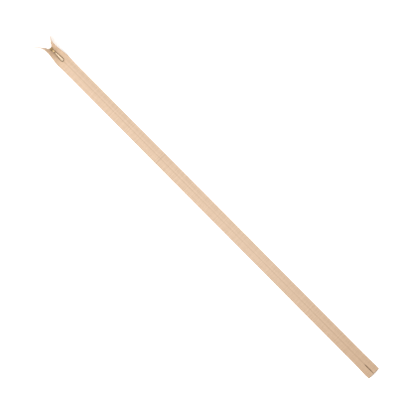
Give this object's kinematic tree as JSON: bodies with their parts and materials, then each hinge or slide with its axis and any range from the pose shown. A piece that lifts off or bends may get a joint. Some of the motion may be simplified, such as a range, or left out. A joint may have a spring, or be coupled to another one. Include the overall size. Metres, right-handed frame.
{
  "type": "concealed zip fastener",
  "caption": "Closed-end concealed zip: two folded cloth tapes with nylon coils on the back, a channel slider with a drop-shaped pull, and end stops.",
  "frame": {"origin": "on the seam, midway along the length, on the surface the fastener lies on", "axes": "+X to the right tape seen from the face side, +Y along the seam towards the slider end, +Z out of the face side"},
  "size_m": [0.0397, 0.85, 0.0149],
  "materials": {
    "tape_cloth": "fine ribbed polyester tape, nude beige",
    "coil_nylon": "dyed nylon monofilament, semi-gloss",
    "core_cord": "spun polyester cord",
    "sewing_thread": "polyester sewing thread",
    "stop_metal": "painted metal, satin",
    "slider_metal": "painted die-cast metal, worn olive-brown",
    "pull_metal": "painted die-cast metal, satin olive-gold"
  },
  "bodies": {
    "tail": {"left_tape_tail": "tape_cloth", "left_coil_tail": "coil_nylon", "left_core_tail": "core_cord", "left_stitch_tail": "sewing_thread", "right_tape_tail": "tape_cloth", "right_coil_tail": "coil_nylon", "right_core_tail": "core_cord", "right_stitch_tail": "sewing_thread", "bottom_stop": "stop_metal"},
    "left_stringer": {"left_tape_main": "tape_cloth", "left_coil_main": "coil_nylon", "left_core_main": "core_cord", "left_stitch_main": "sewing_thread"},
    "right_stringer": {"right_tape_main": "tape_cloth", "right_coil_main": "coil_nylon", "right_core_main": "core_cord", "right_stitch_main": "sewing_thread"},
    "left_top_end": {"left_tape_top": "tape_cloth", "left_coil_top": "coil_nylon", "left_core_top": "core_cord", "left_stitch_top": "sewing_thread", "left_top_stop": "stop_metal"},
    "right_top_end": {"right_tape_top": "tape_cloth", "right_coil_top": "coil_nylon", "right_core_top": "core_cord", "right_stitch_top": "sewing_thread", "right_top_stop": "stop_metal"},
    "slider": {"slider_body": "slider_metal", "slider_bail": "slider_metal"},
    "pull": {"pull_tab": "pull_metal"}
  },
  "joints": [
    {"name": "slider_travel", "type": "slide", "parent": "tail", "child": "slider", "axis": [0, -1, 0], "range_m": [0, 0.7885]},
    {"name": "pull_swing", "type": "hinge", "parent": "slider", "child": "pull", "pos_m": [0, 0.3924, 0.0049], "axis": [-1, 0, 0], "range_deg": [0, 140]},
    {"name": "left_stringer_part", "type": "slide", "parent": "tail", "child": "left_stringer", "axis": [-1, 0, 0], "range_m": [0, 0.00056]},
    {"name": "left_top_swing", "type": "hinge", "parent": "left_stringer", "child": "left_top_end", "pos_m": [-0.0125, 0.3165, 0], "axis": [0, 0, 1], "range_deg": [0, 14.4]},
    {"name": "right_stringer_part", "type": "slide", "parent": "tail", "child": "right_stringer", "axis": [1, 0, 0], "range_m": [0, 0.00056]},
    {"name": "right_top_swing", "type": "hinge", "parent": "right_stringer", "child": "right_top_end", "pos_m": [0.0125, 0.3165, 0], "axis": [0, 0, -1], "range_deg": [0, 14.4]}
  ],
  "couplings": [
    {"joint": "left_stringer_part", "follows": "slider_travel", "ratio": 0.0007},
    {"joint": "left_top_swing", "follows": "slider_travel", "rad_per_m": 0.318},
    {"joint": "right_stringer_part", "follows": "slider_travel", "ratio": 0.0007},
    {"joint": "right_top_swing", "follows": "slider_travel", "rad_per_m": 0.318}
  ]
}
